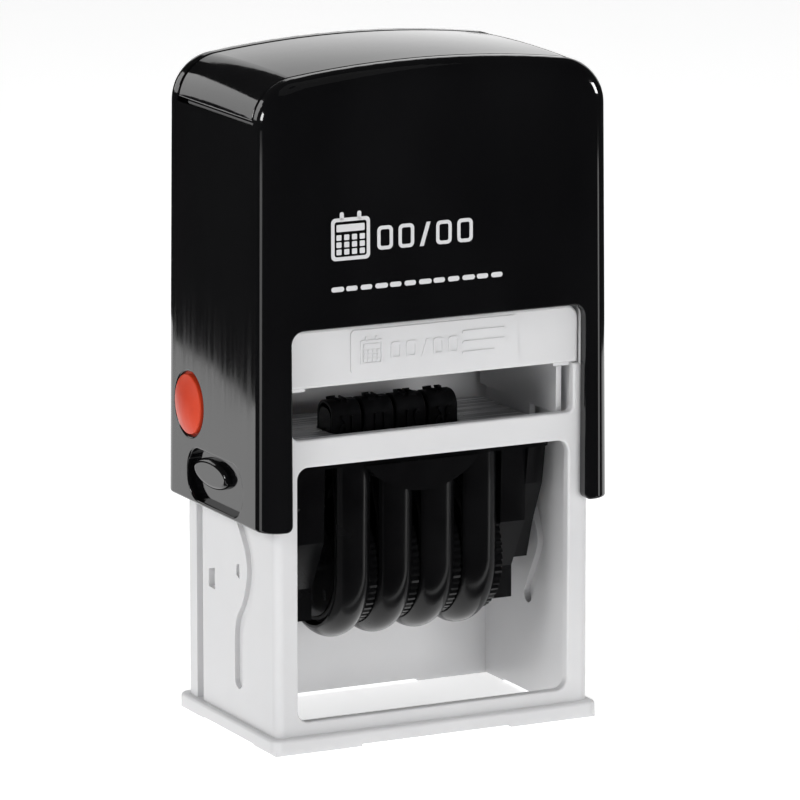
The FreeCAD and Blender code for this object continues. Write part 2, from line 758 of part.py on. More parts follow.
def band_bridge():
    """Nose under the bands that backs their printing faces, on a bar under the housing's top plate."""
    bar = box((-14.2, 14.2), (-bridge_y, bridge_y), (38.6, housing_z[0]))
    nose = box((-10.6, 10.6), (-bridge_y, bridge_y), (housing_z[0], band_face_z - 1.6))
    bridge = joined([bar, nose])
    return softened(bridge, 1.6, lambda e: along(e, "X") and e.BoundBox.ZMin > 48)


def date_band(number):
    """Rubber band: round its wheel, up both sides, together above the wheel and over the bridge."""
    x = band_x(number)
    top_x = band_top_x(number)
    half = band_half_width
    place = in_xy(wheel_z)
    strip = [(x - half, band_inner), (x + half, band_inner), (x + half, band_outer), (x - half, band_outer)]
    around = polygon(strip, place).revolve(V(0, 0, wheel_z), V(-1, 0, 0), 180)
    straight_top = 33.0
    waist = 43.0
    nose_inner, nose_outer = nose_y
    nose_top = band_face_z - 0.5
    pieces = [around]
    for end in (FRONT, BACK):
        straight_y = end_limits(end, band_inner, band_outer)
        pieces.append(box((x - half, x + half), straight_y, (wheel_z, straight_top)))
        low = [(x - half, end * band_inner), (x + half, end * band_inner)]
        low += [(x + half, end * band_outer), (x - half, end * band_outer)]
        high = [(top_x - half, end * nose_inner), (top_x + half, end * nose_inner)]
        high += [(top_x + half, end * nose_outer), (top_x - half, end * nose_outer)]
        low_wire = Part.makePolygon([in_xy(straight_top)(a, b) for a, b in low + low[:1]])
        high_wire = Part.makePolygon([in_xy(waist)(a, b) for a, b in high + high[:1]])
        pieces.append(Part.makeLoft([low_wire, high_wire], True, True))
    limits = (top_x - half, top_x + half)
    cap = box(limits, (-nose_outer, nose_outer), (waist, nose_top))
    cap = softened(cap, 2.6, lambda e: along(e, "X") and e.BoundBox.ZMin > 48)
    hollow = box((limits[0] - 1, limits[1] + 1), (-nose_inner, nose_inner), (waist - 1, nose_top - 1.0))
    hollow = softened(hollow, 1.6, lambda e: along(e, "X") and e.BoundBox.ZMin > 47)
    pieces.append(cap.cut(hollow))
    pieces += characters(top_x, nose_top)
    return joined(pieces)


def characters(x, z):
    """Raised marks on a band's printing face: two columns of three bars."""
    marks = []
    for column in (-1.2, 1.2):
        for row in (-1.1, 0, 1.1):
            middle = x + column
            marks.append(box((middle - 0.8, middle + 0.8), (row - 0.3, row + 0.3), (z - 0.2, band_face_z)))
    return marks


def guard_finger(number):
    """Rounded finger over one band: down the back, under the wheel and up the front."""
    x = band_x(number)
    half = guard_half_width
    place = in_xy(wheel_z)
    sides = [
        Part.makeLine(place(x + half, guard_edge), place(x + half, guard_inner)),
        Part.makeLine(place(x + half, guard_inner), place(x - half, guard_inner)),
        Part.makeLine(place(x - half, guard_inner), place(x - half, guard_edge)),
    ]
    crown = Part.Arc(place(x - half, guard_edge), place(x, guard_outer), place(x + half, guard_edge))
    section = Part.Face(Part.Wire(sides + [crown.toShape()]))
    under = section.revolve(V(0, 0, wheel_z), V(-1, 0, 0), 180)
    back = section.extrude(V(0, 0, housing_z[0] - wheel_z))
    front = back.mirror(V(0, 0, 0), V(0, 1, 0))
    return joined([under, back, front])


def band_guard():
    """Guard over the bands: four fingers, a back bar, and a front apron with a curved lower edge."""
    back_bar = box((-13.4, 13.4), (guard_inner, 11.0), (39.5, housing_z[0]))
    apron = box((-13.4, 13.4), (-12.2, -guard_inner), (37.2, housing_z[0]))
    chord = 8.3
    rise = 3.2
    smile = (chord * chord + rise * rise) / (2 * rise)
    disc = Part.makeCylinder(smile, 20, V(0, -20, 37.4 + smile), V(0, 1, 0))
    apron = apron.common(disc)
    return joined([guard_finger(n) for n in range(band_count)] + [back_bar, apron])


def wheel_shaft():
    """Steel shaft of the setting wheels, pressed into the inner cheeks."""
    return rod_x(shaft_radius, (-shaft_end_x, shaft_end_x), 0, wheel_z)


def setting_wheel(number):
    """Drum inside a band, with a knurled rim in the gap beside it for the finger."""
    x = band_x(number)
    drum = rod_x(drum_radius, (x - 2.6, x + 3.0), 0, wheel_z)
    points = []
    for tooth in range(knurl_teeth):
        for share, radius in ((0.0, knurl_radius), (0.35, knurl_radius), (0.6, knurl_radius - knurl_depth)):
            turn = 2 * math.pi * (tooth + share) / knurl_teeth
            points.append((radius * math.cos(turn), wheel_z + radius * math.sin(turn)))
    rim = polygon(points, in_yz(x + 2.95)).extrude(V(1.2, 0, 0))
    wheel = drum.fuse(rim)
    recess = rod_x(6.4, (x + 3.55, x + 5), 0, wheel_z).cut(rod_x(2.6, (x + 3, x + 6), 0, wheel_z))
    return wheel.cut([rod_x(shaft_radius + 0.05, (x - 4, x + 6), 0, wheel_z), recess])


def pivot_crank(side):
    """Trunnion pressed into the housing, with a crank and guide pin outside the yoke's arm."""
    trunnion = rod_x(trunnion_radius, (side * trunnion_end_x, side * crank_x[1]), 0, pivot_z)
    crank_limits = (side * crank_x[0], side * crank_x[1])
    hub = rod_x(3.2, crank_limits, 0, pivot_z)
    tip = rod_x(1.9, crank_limits, 0, pivot_z - guide_arm)
    web = mirrored_box(side, crank_x, (-1.9, 1.9), (pivot_z - guide_arm, pivot_z))
    pin = rod_x(guide_pin_radius, (side * crank_x[0], side * guide_pin_x), 0, pivot_z - guide_arm)
    return joined([trunnion, hub, tip, web, pin])


# ---- all pieces ---------------------------------------------------------------------------------
def all_pieces():
    """Every named piece of the stamp."""
    pieces = {
        "frame_shell": frame_shell(),
        "foot_pads": foot_pads(),
        "spring_deck": spring_deck(),
        "ink_tray": ink_tray(),
        "ink_pad": ink_pad(),
        "cover_shell": cover_shell(),
        "top_insert": top_insert(),
        "platen_yoke": platen_yoke(),
        "yoke_screws": yoke_screws(),
        "return_spring": return_spring(),
        "die_plate": die_plate(),
        "platen_housing": platen_housing(),
        "band_bridge": band_bridge(),
        "band_guard": band_guard(),
        "wheel_shaft": wheel_shaft(),
    }
    for side, word in ((LEFT, "left"), (RIGHT, "right")):
        pieces["axle_cap_" + word] = axle_cap(side)
        pieces["lock_button_" + word] = lock_button(side)
        pieces["button_retainer_" + word] = button_retainer(side)
        pieces["pivot_crank_" + word] = pivot_crank(side)
    for number in range(band_count):
        pieces["date_band_%d" % (number + 1)] = date_band(number)
        pieces["setting_wheel_%d" % (number + 1)] = setting_wheel(number)
    return pieces


os.makedirs("parts", exist_ok=True)
for name, shape in all_pieces().items():
    valid = all(solid.isValid() and solid.isClosed() for solid in shape.Solids)
    verdict = "ok" if valid else "BAD"
    print("%-21s solids %d volume %9.1f %s" % (name, len(shape.Solids), shape.Volume, verdict))
    shape.exportStep("parts/%s.step" % name)
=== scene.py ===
"""Looks of the self-inking date stamp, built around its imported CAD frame. Metres; X right, Y back, Z up."""

import bisect
import json
import math

import bmesh
import bpy
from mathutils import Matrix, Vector, noise


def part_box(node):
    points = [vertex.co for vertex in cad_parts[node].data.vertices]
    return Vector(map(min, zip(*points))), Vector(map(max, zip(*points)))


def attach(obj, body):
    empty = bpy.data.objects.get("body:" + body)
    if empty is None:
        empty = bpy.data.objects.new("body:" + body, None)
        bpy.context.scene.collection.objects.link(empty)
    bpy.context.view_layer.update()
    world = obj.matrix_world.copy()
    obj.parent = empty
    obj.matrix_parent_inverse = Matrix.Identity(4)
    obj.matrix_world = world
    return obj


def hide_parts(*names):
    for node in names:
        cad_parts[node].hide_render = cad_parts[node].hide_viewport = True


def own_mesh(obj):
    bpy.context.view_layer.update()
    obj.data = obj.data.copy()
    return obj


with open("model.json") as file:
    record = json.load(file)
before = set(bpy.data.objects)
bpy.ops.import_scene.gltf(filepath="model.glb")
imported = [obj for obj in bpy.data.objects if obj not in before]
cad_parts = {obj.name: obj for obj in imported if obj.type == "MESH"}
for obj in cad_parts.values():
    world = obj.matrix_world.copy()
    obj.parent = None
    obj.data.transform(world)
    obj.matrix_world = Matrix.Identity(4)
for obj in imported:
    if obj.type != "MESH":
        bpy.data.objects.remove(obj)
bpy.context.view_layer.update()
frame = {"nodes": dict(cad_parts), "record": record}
NODES = frame["nodes"]
MM = 0.001


# ---- materials ----------------------------------------------------------------------------------
class Shader:
    """A new material's node tree, with short calls for adding and linking nodes."""

    def __init__(self, name, **sockets):
        self.material = bpy.data.materials.new(name)
        self.material.use_nodes = True
        self.nodes = self.material.node_tree.nodes
        self.links = self.material.node_tree.links
        self.surface = self.nodes["Principled BSDF"]
        for socket, value in sockets.items():
            self.surface.inputs[socket.replace("_", " ")].default_value = value
        self.place = self.add("ShaderNodeTexCoord").outputs["Object"]

    def add(self, kind, **inputs):
        node = self.nodes.new(kind)
        for socket, value in inputs.items():
            node.inputs[socket.replace("_", " ")].default_value = value
        return node

    def link(self, output, node, socket):
        self.links.new(output, node.inputs[socket])

    def noise(self, scale, detail=3.0, roughness=0.55, stretch=(1, 1, 1), distortion=0.0):
        """Noise in the object's own coordinates; scale is in waves per metre."""
        mapping = self.add("ShaderNodeMapping", Scale=stretch)
        self.link(self.place, mapping, "Vector")
        node = self.add(
            "ShaderNodeTexNoise", Scale=scale, Detail=detail, Roughness=roughness, Distortion=distortion,
        )
        self.link(mapping.outputs["Vector"], node, "Vector")
        return node.outputs["Fac"]

    def ramp(self, value, stops):
        """Colour ramp over value; stops are (position, colour)."""
        node = self.add("ShaderNodeValToRGB")
        self.link(value, node, "Fac")
        band = node.color_ramp
        while len(band.elements) < len(stops):
            band.elements.new(0.5)
        for element, (position, colour) in zip(band.elements, stops):
            element.position = position
            element.color = (*colour, 1)
        return node.outputs["Color"]

    def spread(self, value, low, high, start=0.3, end=0.7):
        """Maps value from start..end to low..high."""
        node = self.add("ShaderNodeMapRange", From_Min=start, From_Max=end, To_Min=low, To_Max=high)
        self.link(value, node, "Value")
        return node.outputs["Result"]

    def bump(self, height, strength, distance):
        """Normal that follows height; distance is in metres."""
        node = self.add("ShaderNodeBump", Strength=strength, Distance=distance)
        self.link(height, node, "Height")
        return node.outputs["Normal"]

    def mix(self, share, tone, colour):
        """The socket tone where share is 0, a fixed colour where it is 1."""
        node = self.add("ShaderNodeMix")
        node.data_type = "RGBA"
        first_colour, second_colour = 6, 7  # the node has inputs of several types under one name
        self.link(share, node, 0)
        self.link(tone, node, first_colour)
        node.inputs[second_colour].default_value = (*colour, 1)
        return node.outputs[2]

    def finish(self, colour, roughness, normal):
        """Links the three maps to the surface and returns the material."""
        self.link(colour, self.surface, "Base Color")
        self.link(roughness, self.surface, "Roughness")
        self.link(normal, self.surface, "Normal")
        return self.material


def gloss_black():
    """Polished black ABS: faint flow marks, fine handling scratches and a little dust."""
    s = Shader("gloss_black", IOR=1.5, Specular_IOR_Level=0.5)
    flow = s.noise(60, 2.0, stretch=(1, 1, 0.35))
    scratches = s.noise(900, 4.0, stretch=(1, 1, 0.05), distortion=0.6)
    colour = s.ramp(flow, [(0.3, (0.0022, 0.0022, 0.0026)), (0.7, (0.0045, 0.0045, 0.005))])
    roughness = s.spread(scratches, 0.045, 0.10, 0.35, 0.75)
    normal = s.bump(flow, 0.05, 0.0004)
    return s.finish(colour, roughness, normal)


def satin_black():
    """Black moulding of the platen, less polished than the cover."""
    s = Shader("satin_black", IOR=1.5, Specular_IOR_Level=0.25)
    grain = s.noise(2600, 3.0)
    smear = s.noise(120, 3.0)
    colour = s.ramp(smear, [(0.3, (0.0022, 0.0022, 0.0025)), (0.75, (0.005, 0.005, 0.0055))])
    roughness = s.spread(smear, 0.16, 0.28)
    normal = s.bump(grain, 0.08, 0.00004)
    return s.finish(colour, roughness, normal)


def band_rubber():
    """Matt rubber of the date bands, greyed by dry ink."""
    s = Shader("band_rubber", IOR=1.5, Specular_IOR_Level=0.3)
    ink = s.noise(420, 4.0)
    grain = s.noise(5200, 2.0)
    colour = s.ramp(ink, [(0.35, (0.003, 0.003, 0.0034)), (0.7, (0.011, 0.011, 0.012))])
    roughness = s.spread(ink, 0.42, 0.62)
    normal = s.bump(grain, 0.25, 0.00005)
    return s.finish(colour, roughness, normal)


def white_plastic():
    """White ABS of the frame: satin, with slight clouding and a trace of grime in patches."""
    s = Shader(
        "white_plastic", IOR=1.46,
        Subsurface_Weight=0.08, Subsurface_Scale=0.0012, Subsurface_Radius=(1.0, 0.9, 0.8),
    )
    cloud = s.noise(45, 3.0)
    grain = s.noise(3000, 2.0)
    colour = s.ramp(cloud, [(0.3, (0.67, 0.67, 0.68)), (0.7, (0.72, 0.72, 0.727))])
    roughness = s.spread(cloud, 0.28, 0.4)
    normal = s.bump(grain, 0.06, 0.00003)
    return s.finish(colour, roughness, normal)


def grey_plate():
    """Light grey plate with fine brushing along X."""
    s = Shader("grey_plate", IOR=1.65)
    brushed = s.noise(1500, 4.0, 0.6, stretch=(0.03, 1, 1))
    cloud = s.noise(70, 2.0)
    tone = s.ramp(brushed, [(0.3, (0.50, 0.50, 0.51)), (0.7, (0.72, 0.72, 0.73))])
    colour = s.mix(s.spread(cloud, 0.0, 0.35), tone, (0.3, 0.3, 0.31))
    roughness = s.spread(brushed, 0.2, 0.34)
    normal = s.bump(brushed, 0.2, 0.00006)
    return s.finish(colour, roughness, normal)


def red_plastic():
    """Orange-red button moulding."""
    s = Shader(
        "red_plastic", IOR=1.5, Specular_IOR_Level=0.25,
        Subsurface_Weight=0.05, Subsurface_Scale=0.001,
    )
    cloud = s.noise(160, 3.0)
    scratches = s.noise(1200, 3.0, stretch=(1, 1, 0.1))
    colour = s.ramp(cloud, [(0.3, (0.58, 0.045, 0.015)), (0.7, (0.68, 0.062, 0.021))])
    roughness = s.spread(scratches, 0.34, 0.48)
    normal = s.bump(cloud, 0.03, 0.0003)
    return s.finish(colour, roughness, normal)


def steel():
    """Drawn steel of the spring, shaft and screws."""
    s = Shader("steel", Metallic=1.0)
    drawn = s.noise(1800, 3.0, stretch=(0.1, 1, 1))
    colour = s.ramp(drawn, [(0.3, (0.42, 0.42, 0.44)), (0.7, (0.66, 0.66, 0.68))])
    roughness = s.spread(drawn, 0.2, 0.38)
    normal = s.bump(drawn, 0.1, 0.00003)
    return s.finish(colour, roughness, normal)


def pad_felt():
    """Felt soaked with blue-black ink."""
    s = Shader("pad_felt", Sheen_Weight=0.4, Sheen_Roughness=0.5)
    fibres = s.noise(3800, 4.0, 0.7, distortion=1.2)
    soak = s.noise(180, 3.0)
    colour = s.ramp(soak, [(0.3, (0.008, 0.008, 0.02)), (0.7, (0.022, 0.022, 0.05))])
    roughness = s.spread(fibres, 0.7, 0.95)
    normal = s.bump(fibres, 0.7, 0.00025)
    return s.finish(colour, roughness, normal)


MATERIALS = {
    "white_plastic": white_plastic(),
    "black_gloss": gloss_black(),
    "black_plastic": satin_black(),
    "band_rubber": band_rubber(),
    "grey_plate": grey_plate(),
    "red_plastic": red_plastic(),
    "pad_felt": pad_felt(),
    "steel": steel(),
}


def dress_cad_nodes():
    """Gives every CAD node the material of its slot in the record."""
    for part in frame["record"]["subparts"]:
        node = NODES[part["node"]]
        node.data.materials.clear()
        node.data.materials.append(MATERIALS[part["material_slot"]])


# ---- pieces -------------------------------------------------------------------------------------
def make_piece(name, mesh, slot, body, smooth_angle=35):
    """Turns a bmesh in millimetres into a piece in metres that rides on a body."""
    bmesh.ops.recalc_face_normals(mesh, faces=mesh.faces)
    bmesh.ops.scale(mesh, vec=(MM, MM, MM), verts=mesh.verts)
    limit = math.radians(smooth_angle)
    for face in mesh.faces:
        face.smooth = True
    for edge in mesh.edges:
        edge.smooth = edge.is_manifold and edge.calc_face_angle(0) < limit
    data = bpy.data.meshes.new(name)
    mesh.to_mesh(data)
    mesh.free()
    data.materials.append(MATERIALS[slot])
    piece = bpy.data.objects.new(name, data)
    bpy.context.scene.collection.objects.link(piece)
    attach(piece, body)
    return piece


def sweep(mesh, rows, closed):
    """Quads between neighbouring rows of points; each row is a closed section."""
    rings = [[mesh.verts.new(point) for point in row] for row in rows]
    spans = len(rings) if closed else len(rings) - 1
    for i in range(spans):
        here = rings[i]
        there = rings[(i + 1) % len(rings)]
        for j in range(len(here)):
            k = (j + 1) % len(here)
            mesh.faces.new((here[j], here[k], there[k], there[j]))
    if not closed:
        mesh.faces.new(rings[0])
        mesh.faces.new(reversed(rings[-1]))


def return_spring():
    """Compression spring with closed, flattened end coils."""
    low, high = (corner[2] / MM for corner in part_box("return_spring"))
    wire_radius = 0.45
    coil_radius = 5.9
    turns = 10.0
    closed_turns = 1.1
    closed_pitch = 2 * wire_radius * 1.04  # neighbouring end coils almost touch
    steps_per_turn = 36
    section_points = 14
    rise = high - low - 2 * wire_radius
    dead = closed_turns * closed_pitch
    mesh = bmesh.new()
    rows = []
    for i in range(int(turns * steps_per_turn) + 1):
        turn = i / steps_per_turn
        if turn < closed_turns:
            height = dead * turn / closed_turns
        elif turn > turns - closed_turns:
            height = rise - dead * (turns - turn) / closed_turns
        else:
            share = (turn - closed_turns) / (turns - 2 * closed_turns)
            height = dead + (rise - 2 * dead) * share
        angle = 2 * math.pi * turn
        out = Vector((math.cos(angle), math.sin(angle), 0))
        centre = coil_radius * out + Vector((0, 0, low + wire_radius + height))
        row = []
        for k in range(section_points):
            around = 2 * math.pi * k / section_points
            row.append(centre + wire_radius * (math.cos(around) * out + Vector((0, 0, math.sin(around)))))
        rows.append(row)
    sweep(mesh, rows, False)
    piece = make_piece("spring_coil", mesh, "steel", "frame")
    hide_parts("return_spring")
    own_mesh(piece)


def ink_pad():
    """Felt block with soft edges, a slightly crowned inking face and a fibrous skin."""
    low, high = (Vector(corner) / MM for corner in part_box("ink_pad"))
    centre = (low + high) / 2
    half = (high - low) / 2
    radius = 0.9
    crown = 0.3
    fibre_depth = 0.05
    mesh = bmesh.new()
    bmesh.ops.create_cube(mesh, size=2)
    bmesh.ops.subdivide_edges(mesh, edges=mesh.edges, cuts=23, use_grid_fill=True)
    for vertex in mesh.verts:
        place = Vector([vertex.co[i] * half[i] for i in range(3)])
        core = Vector([max(-half[i] + radius, min(half[i] - radius, place[i])) for i in range(3)])
        if place != core:
            place = core + (place - core).normalized() * radius
        if vertex.co.z < 0:
            edge = max(abs(vertex.co.x), abs(vertex.co.y))
            place.z += crown * edge ** 4
        fibre = noise.noise(place * 1.9) + 0.6 * noise.noise(place * 4.7)
        place -= fibre_depth * max(fibre, 0) * (place - core * 0.9).normalized()
        vertex.co = centre + place
    piece = make_piece("felt_pad", mesh, "pad_felt", "ink_tray", 80)
    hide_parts("ink_pad")


# Each band runs from its wheel up to the printing face, and bends twice on the way, in millimetres.
LOWER_BEND_Z = 33.0
UPPER_BEND_Z = 43.0
WHEEL_PITCH = 7.1
FACE_PITCH = 5.45


class BandPath:
    """Closed outline of a date band's outer face in the YZ plane, in millimetres."""

    def __init__(self):
        around_wheel = 8.85
        wheel_z = 24.9
        bend_radius = 3.5
        nose_y = 2.7
        nose_z = 49.9
        nose_radius = 2.3
        right = [
            (around_wheel, wheel_z - around_wheel, around_wheel),
            (around_wheel, LOWER_BEND_Z, bend_radius),
            (nose_y, UPPER_BEND_Z, bend_radius),
            (nose_y, nose_z, nose_radius),
        ]
        corners = right + [(-y, z, radius) for y, z, radius in reversed(right)]
        self.points = []
        for i in range(len(corners)):
            self.points += self.rounded_corner(corners[i - 1], corners[i], corners[(i + 1) % len(corners)])
        self.lengths = [0.0]
        for i in range(len(self.points)):
            step = (self.points[(i + 1) % len(self.points)] - self.points[i]).length
            self.lengths.append(self.lengths[-1] + step)
        self.total = self.lengths[-1]
        self.top = self.length_at_top()

    @staticmethod
    def rounded_corner(before, corner, after):
        """Points along the arc that rounds one corner of the outline; a corner is (y, z, radius)."""
        point_spacing = 0.35
        radius = corner[2]
        here = Vector(corner[:2])
        inward = (Vector(before[:2]) - here).normalized()
        outward = (Vector(after[:2]) - here).normalized()
        half = inward.angle(outward) / 2
        centre = here + (inward + outward).normalized() * radius / math.sin(half)
        start = here + inward * radius / math.tan(half) - centre
        end = here + outward * radius / math.tan(half) - centre
        first = math.atan2(start.y, start.x)
        sweep_angle = (math.atan2(end.y, end.x) - first + math.pi) % (2 * math.pi) - math.pi
        steps = max(3, int(radius * abs(sweep_angle) / point_spacing))
        points = []
        for i in range(steps + 1):
            turn = first + sweep_angle * i / steps
            points.append(centre + radius * Vector((math.cos(turn), math.sin(turn))))
        return points

    def length_at_top(self):
        """Distance along the outline to the middle of the printing face."""
        highest = max(self.points, key=lambda point: point.y - 0.001 * abs(point.x)).y
        flat = [i for i, point in enumerate(self.points) if point.y > highest - 1e-4]
        return (self.lengths[flat[0]] + self.lengths[flat[-1]]) / 2

    def at(self, length):
        """Point and outward normal at a distance along the outline."""
        length %= self.total
        i = max(0, bisect.bisect_right(self.lengths, length) - 1)
        i = min(i, len(self.points) - 1)
        here = self.points[i]
        there = self.points[(i + 1) % len(self.points)]
        step = there - here
        share = (length - self.lengths[i]) / max(self.lengths[i + 1] - self.lengths[i], 1e-9)
        return here + step * share, Vector((step.y, -step.x)).normalized()


def band_middle(number, z):
    """Middle of a band at height z: the bands draw together on their way up to the printing face."""
    share = min(max((z - LOWER_BEND_Z) / (UPPER_BEND_Z - LOWER_BEND_Z), 0.0), 1.0)
    pitch = WHEEL_PITCH + (FACE_PITCH - WHEEL_PITCH) * share
    return (number - 1.5) * pitch


def number_mesh(text):
    """Points and faces of a number, extruded; about 1 high, centred."""
    curve = bpy.data.curves.new("number", "FONT")
    curve.body = text
    curve.align_x = "CENTER"
    curve.resolution_u = 3
    curve.extrude = 0.5
    holder = bpy.data.objects.new("number", curve)
    data = bpy.data.meshes.new_from_object(holder)
    points = [vertex.co.copy() for vertex in data.vertices]
    faces = [tuple(face.vertices) for face in data.polygons]
    bpy.data.objects.remove(holder)
    bpy.data.curves.remove(curve)
    bpy.data.meshes.remove(data)
    low = min(point.y for point in points)
    high = max(point.y for point in points)
    for point in points:
        point.y -= (low + high) / 2
    return points, faces


def date_band(number, path, numbers):
    """Rubber band with raised, mirrored numbers all the way round."""
    half = 2.45
    thickness = 0.5
    edge = 0.12
    section = [
        (-half, -thickness), (half, -thickness), (half, -edge),
        (half - edge, 0.0), (edge - half, 0.0), (-half, -edge),
    ]
    mesh = bmesh.new()
    steps = 250
    rows = []
    for i in range(steps):
        point, normal = path.at(path.total * i / steps)
        middle = band_middle(number, point.y)
        rows.append([(middle + x, *(point + normal * height)) for x, height in section])
    sweep(mesh, rows, True)
    count = 16
    width_scale = 3.0
    height_scale = 4.3
    relief = 0.48
    sunk = 0.05
    for i in range(count):
        points, faces = number_mesh(numbers[i % len(numbers)])
        start = path.top + path.total * i / count
        made = []
        for co in points:
            place, normal = path.at(start - co.y * height_scale)
            lift = -sunk if co.z < 0 else relief
            middle = band_middle(number, place.y)
            made.append(mesh.verts.new((middle - co.x * width_scale, *(place + normal * lift))))
        for face in faces:
            mesh.faces.new([made[k] for k in face])
    name = "date_band_%d" % (number + 1)
    piece = make_piece("numbered_" + name, mesh, "band_rubber", "platen", 40)
    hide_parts(name)


def date_bands():
    """The four bands, each with its own run of numbers."""
    path = BandPath()
    runs = [
        ["%02d" % day for day in range(17, 1, -1)],
        ["%02d" % month for month in range(12, 0, -1)],
        ["%d" % (20 + i % 2) for i in range(4)],
        ["%02d" % year for year in range(37, 21, -1)],
    ]
    for number, numbers in enumerate(runs):
        date_band(number, path, numbers)


# ---- generic markings ---------------------------------------------------------------------------
def rounded_box(centre, half, radius, steps=5):
    """Outline of a rectangle with round corners, in the plane of a marking."""
    points = []
    for quarter, (sx, sz) in enumerate(((1, 1), (-1, 1), (-1, -1), (1, -1))):
        for i in range(steps + 1):
            turn = math.pi / 2 * (quarter + i / steps)
            points.append((
                centre[0] + sx * (half[0] - radius) + radius * math.cos(turn),
                centre[1] + sz * (half[1] - radius) + radius * math.sin(turn),
            ))
    return points


class Marking:
    """Flat shapes standing slightly proud of a front face, drawn in its X and Z."""

    def __init__(self, face_y, relief):
        self.mesh = bmesh.new()
        self.face_y = face_y
        self.relief = relief

    def rows(self, outline):
        """Vertices of an outline on the face and at the top of the relief."""
        sunk = 0.01
        low = [self.mesh.verts.new((x, self.face_y(z) + sunk, z)) for x, z in outline]
        high = [self.mesh.verts.new((x, self.face_y(z) - self.relief, z)) for x, z in outline]
        return low, high

    def walls(self, low, high):
        for i in range(len(low)):
            k = (i + 1) % len(low)
            self.mesh.faces.new((low[i], low[k], high[k], high[i]))

    def fill(self, outline):
        low, high = self.rows(outline)
        self.walls(low, high)
        self.mesh.faces.new(high)
        self.mesh.faces.new(list(reversed(low)))

    def ring(self, outer, inner):
        """A filled outline with a hole of as many points."""
        outer_low, outer_high = self.rows(outer)
        inner_low, inner_high = self.rows(inner)
        self.walls(outer_low, outer_high)
        self.walls(list(reversed(inner_low)), list(reversed(inner_high)))
        for i in range(len(outer)):
            k = (i + 1) % len(outer)
            self.mesh.faces.new((outer_high[i], outer_high[k], inner_high[k], inner_high[i]))
            self.mesh.faces.new((outer_low[k], outer_low[i], inner_low[i], inner_low[k]))

    def calendar(self, centre, half, line):
        """Generic calendar sheet: outline, header, two binding rings and a grid of days."""
        x, z = centre
        radius = half * 0.22
        self.ring(rounded_box(centre, (half, half), radius),
                  rounded_box(centre, (half - line, half - line), radius - line * 0.6))
        self.fill(rounded_box((x, z + half * 0.52), (half - line * 1.6, half * 0.17), line * 0.3))
        for side in (-1, 1):
            ring = (x + side * half * 0.45, z + half * 1.08)
            self.fill(rounded_box(ring, (line * 0.6, half * 0.2), line * 0.55))
        day = half * 0.13
        for row in range(3):
            for column in range(4):
                place = (x + (column - 1.5) * half * 0.4, z + half * (0.08 - 0.34 * row))
                self.fill(rounded_box(place, (day, day), day * 0.3, 3))

    def date_fields(self, left, z, height, groups):
        """Empty date fields with slashes between them; groups gives the boxes in each."""
        width = height * 0.72
        gap = height * 0.26
        line = height * 0.15
        lean = height * 0.16
        stroke = line * 1.2
        x = left
        for index, count in enumerate(groups):
            if index:
                foot = x + lean
                self.fill([
                    (foot - lean, z - height / 2), (foot - lean + stroke, z - height / 2),
                    (foot + lean + stroke, z + height / 2), (foot + lean, z + height / 2),
                ])
                x = foot + lean + stroke + gap
            for _ in range(count):
                centre = (x + width / 2, z)
                self.ring(rounded_box(centre, (width / 2, height / 2), height * 0.2),
                          rounded_box(centre, (width / 2 - line, height / 2 - line), height * 0.08))
                x += width + gap

    def bar(self, x, z, height):
        """Rounded bar between the limits x."""
        self.fill(rounded_box(((x[0] + x[1]) / 2, z), ((x[1] - x[0]) / 2, height / 2), height * 0.48))


def cover_print():
    """White print on the cover's front: a calendar, empty date fields and a row of ticks."""
    low = Vector(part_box("cover_shell")[0]) / MM
    slope = 0.4 / 69.25  # the front face leans back as it rises
    tick_pitch = 2.42

    def face_y(z):
        return low.y + slope * (z - low.z)

    marks = Marking(face_y, 0.03)
    marks.calendar((-15.0, low.z + 43.75), 3.2, 0.55)
    marks.date_fields(-10.6, low.z + 43.45, 3.6, (2, 2))
    for index in range(12):
        start = -18.2 + index * tick_pitch
        length = 1.9 if index % 3 else 2.1
        marks.bar((start, start + length), low.z + 36.25, 0.75)
    make_piece("cover_marking", marks.mesh, "white_plastic", "cover")


def tray_emboss():
    """The same marks raised on the tray's front panel, in its own plastic."""
    low = Vector(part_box("ink_tray")[0]) / MM
    line_pitch = 1.6
    marks = Marking(lambda z: low.y, 0.14)
    marks.calendar((-10.6, low.z + 4.7), 1.9, 0.34)
    marks.date_fields(-7.4, low.z + 4.6, 2.6, (2, 2))
    for row in range(3):
        end = 10.3 if row == 2 else 11.9
        marks.bar((4.6, end), low.z + 6.3 - line_pitch * row, 0.6)
    make_piece("tray_marking", marks.mesh, "white_plastic", "ink_tray")


# ---- stage --------------------------------------------------------------------------------------
AZIMUTH = math.radians(-26.45)
ELEVATION = math.radians(11.85)
AIM = Vector((0.0, 0.0, 0.052))
DISTANCE = 1.0
LENS = 295.65
VIEW_OFFSET = (1.92 * MM, -3.0 * MM)  # the object stands a little left of and above the middle
LIGHT_TARGET = (0.0, 0.0, 0.05)
GLOW_CENTRE = (0.0, 0.0, 0.08)
GLOW_DISTANCE = 1.2
GLOW_FLOOR_Z = -0.002
WHITE = (1, 1, 1, 1)


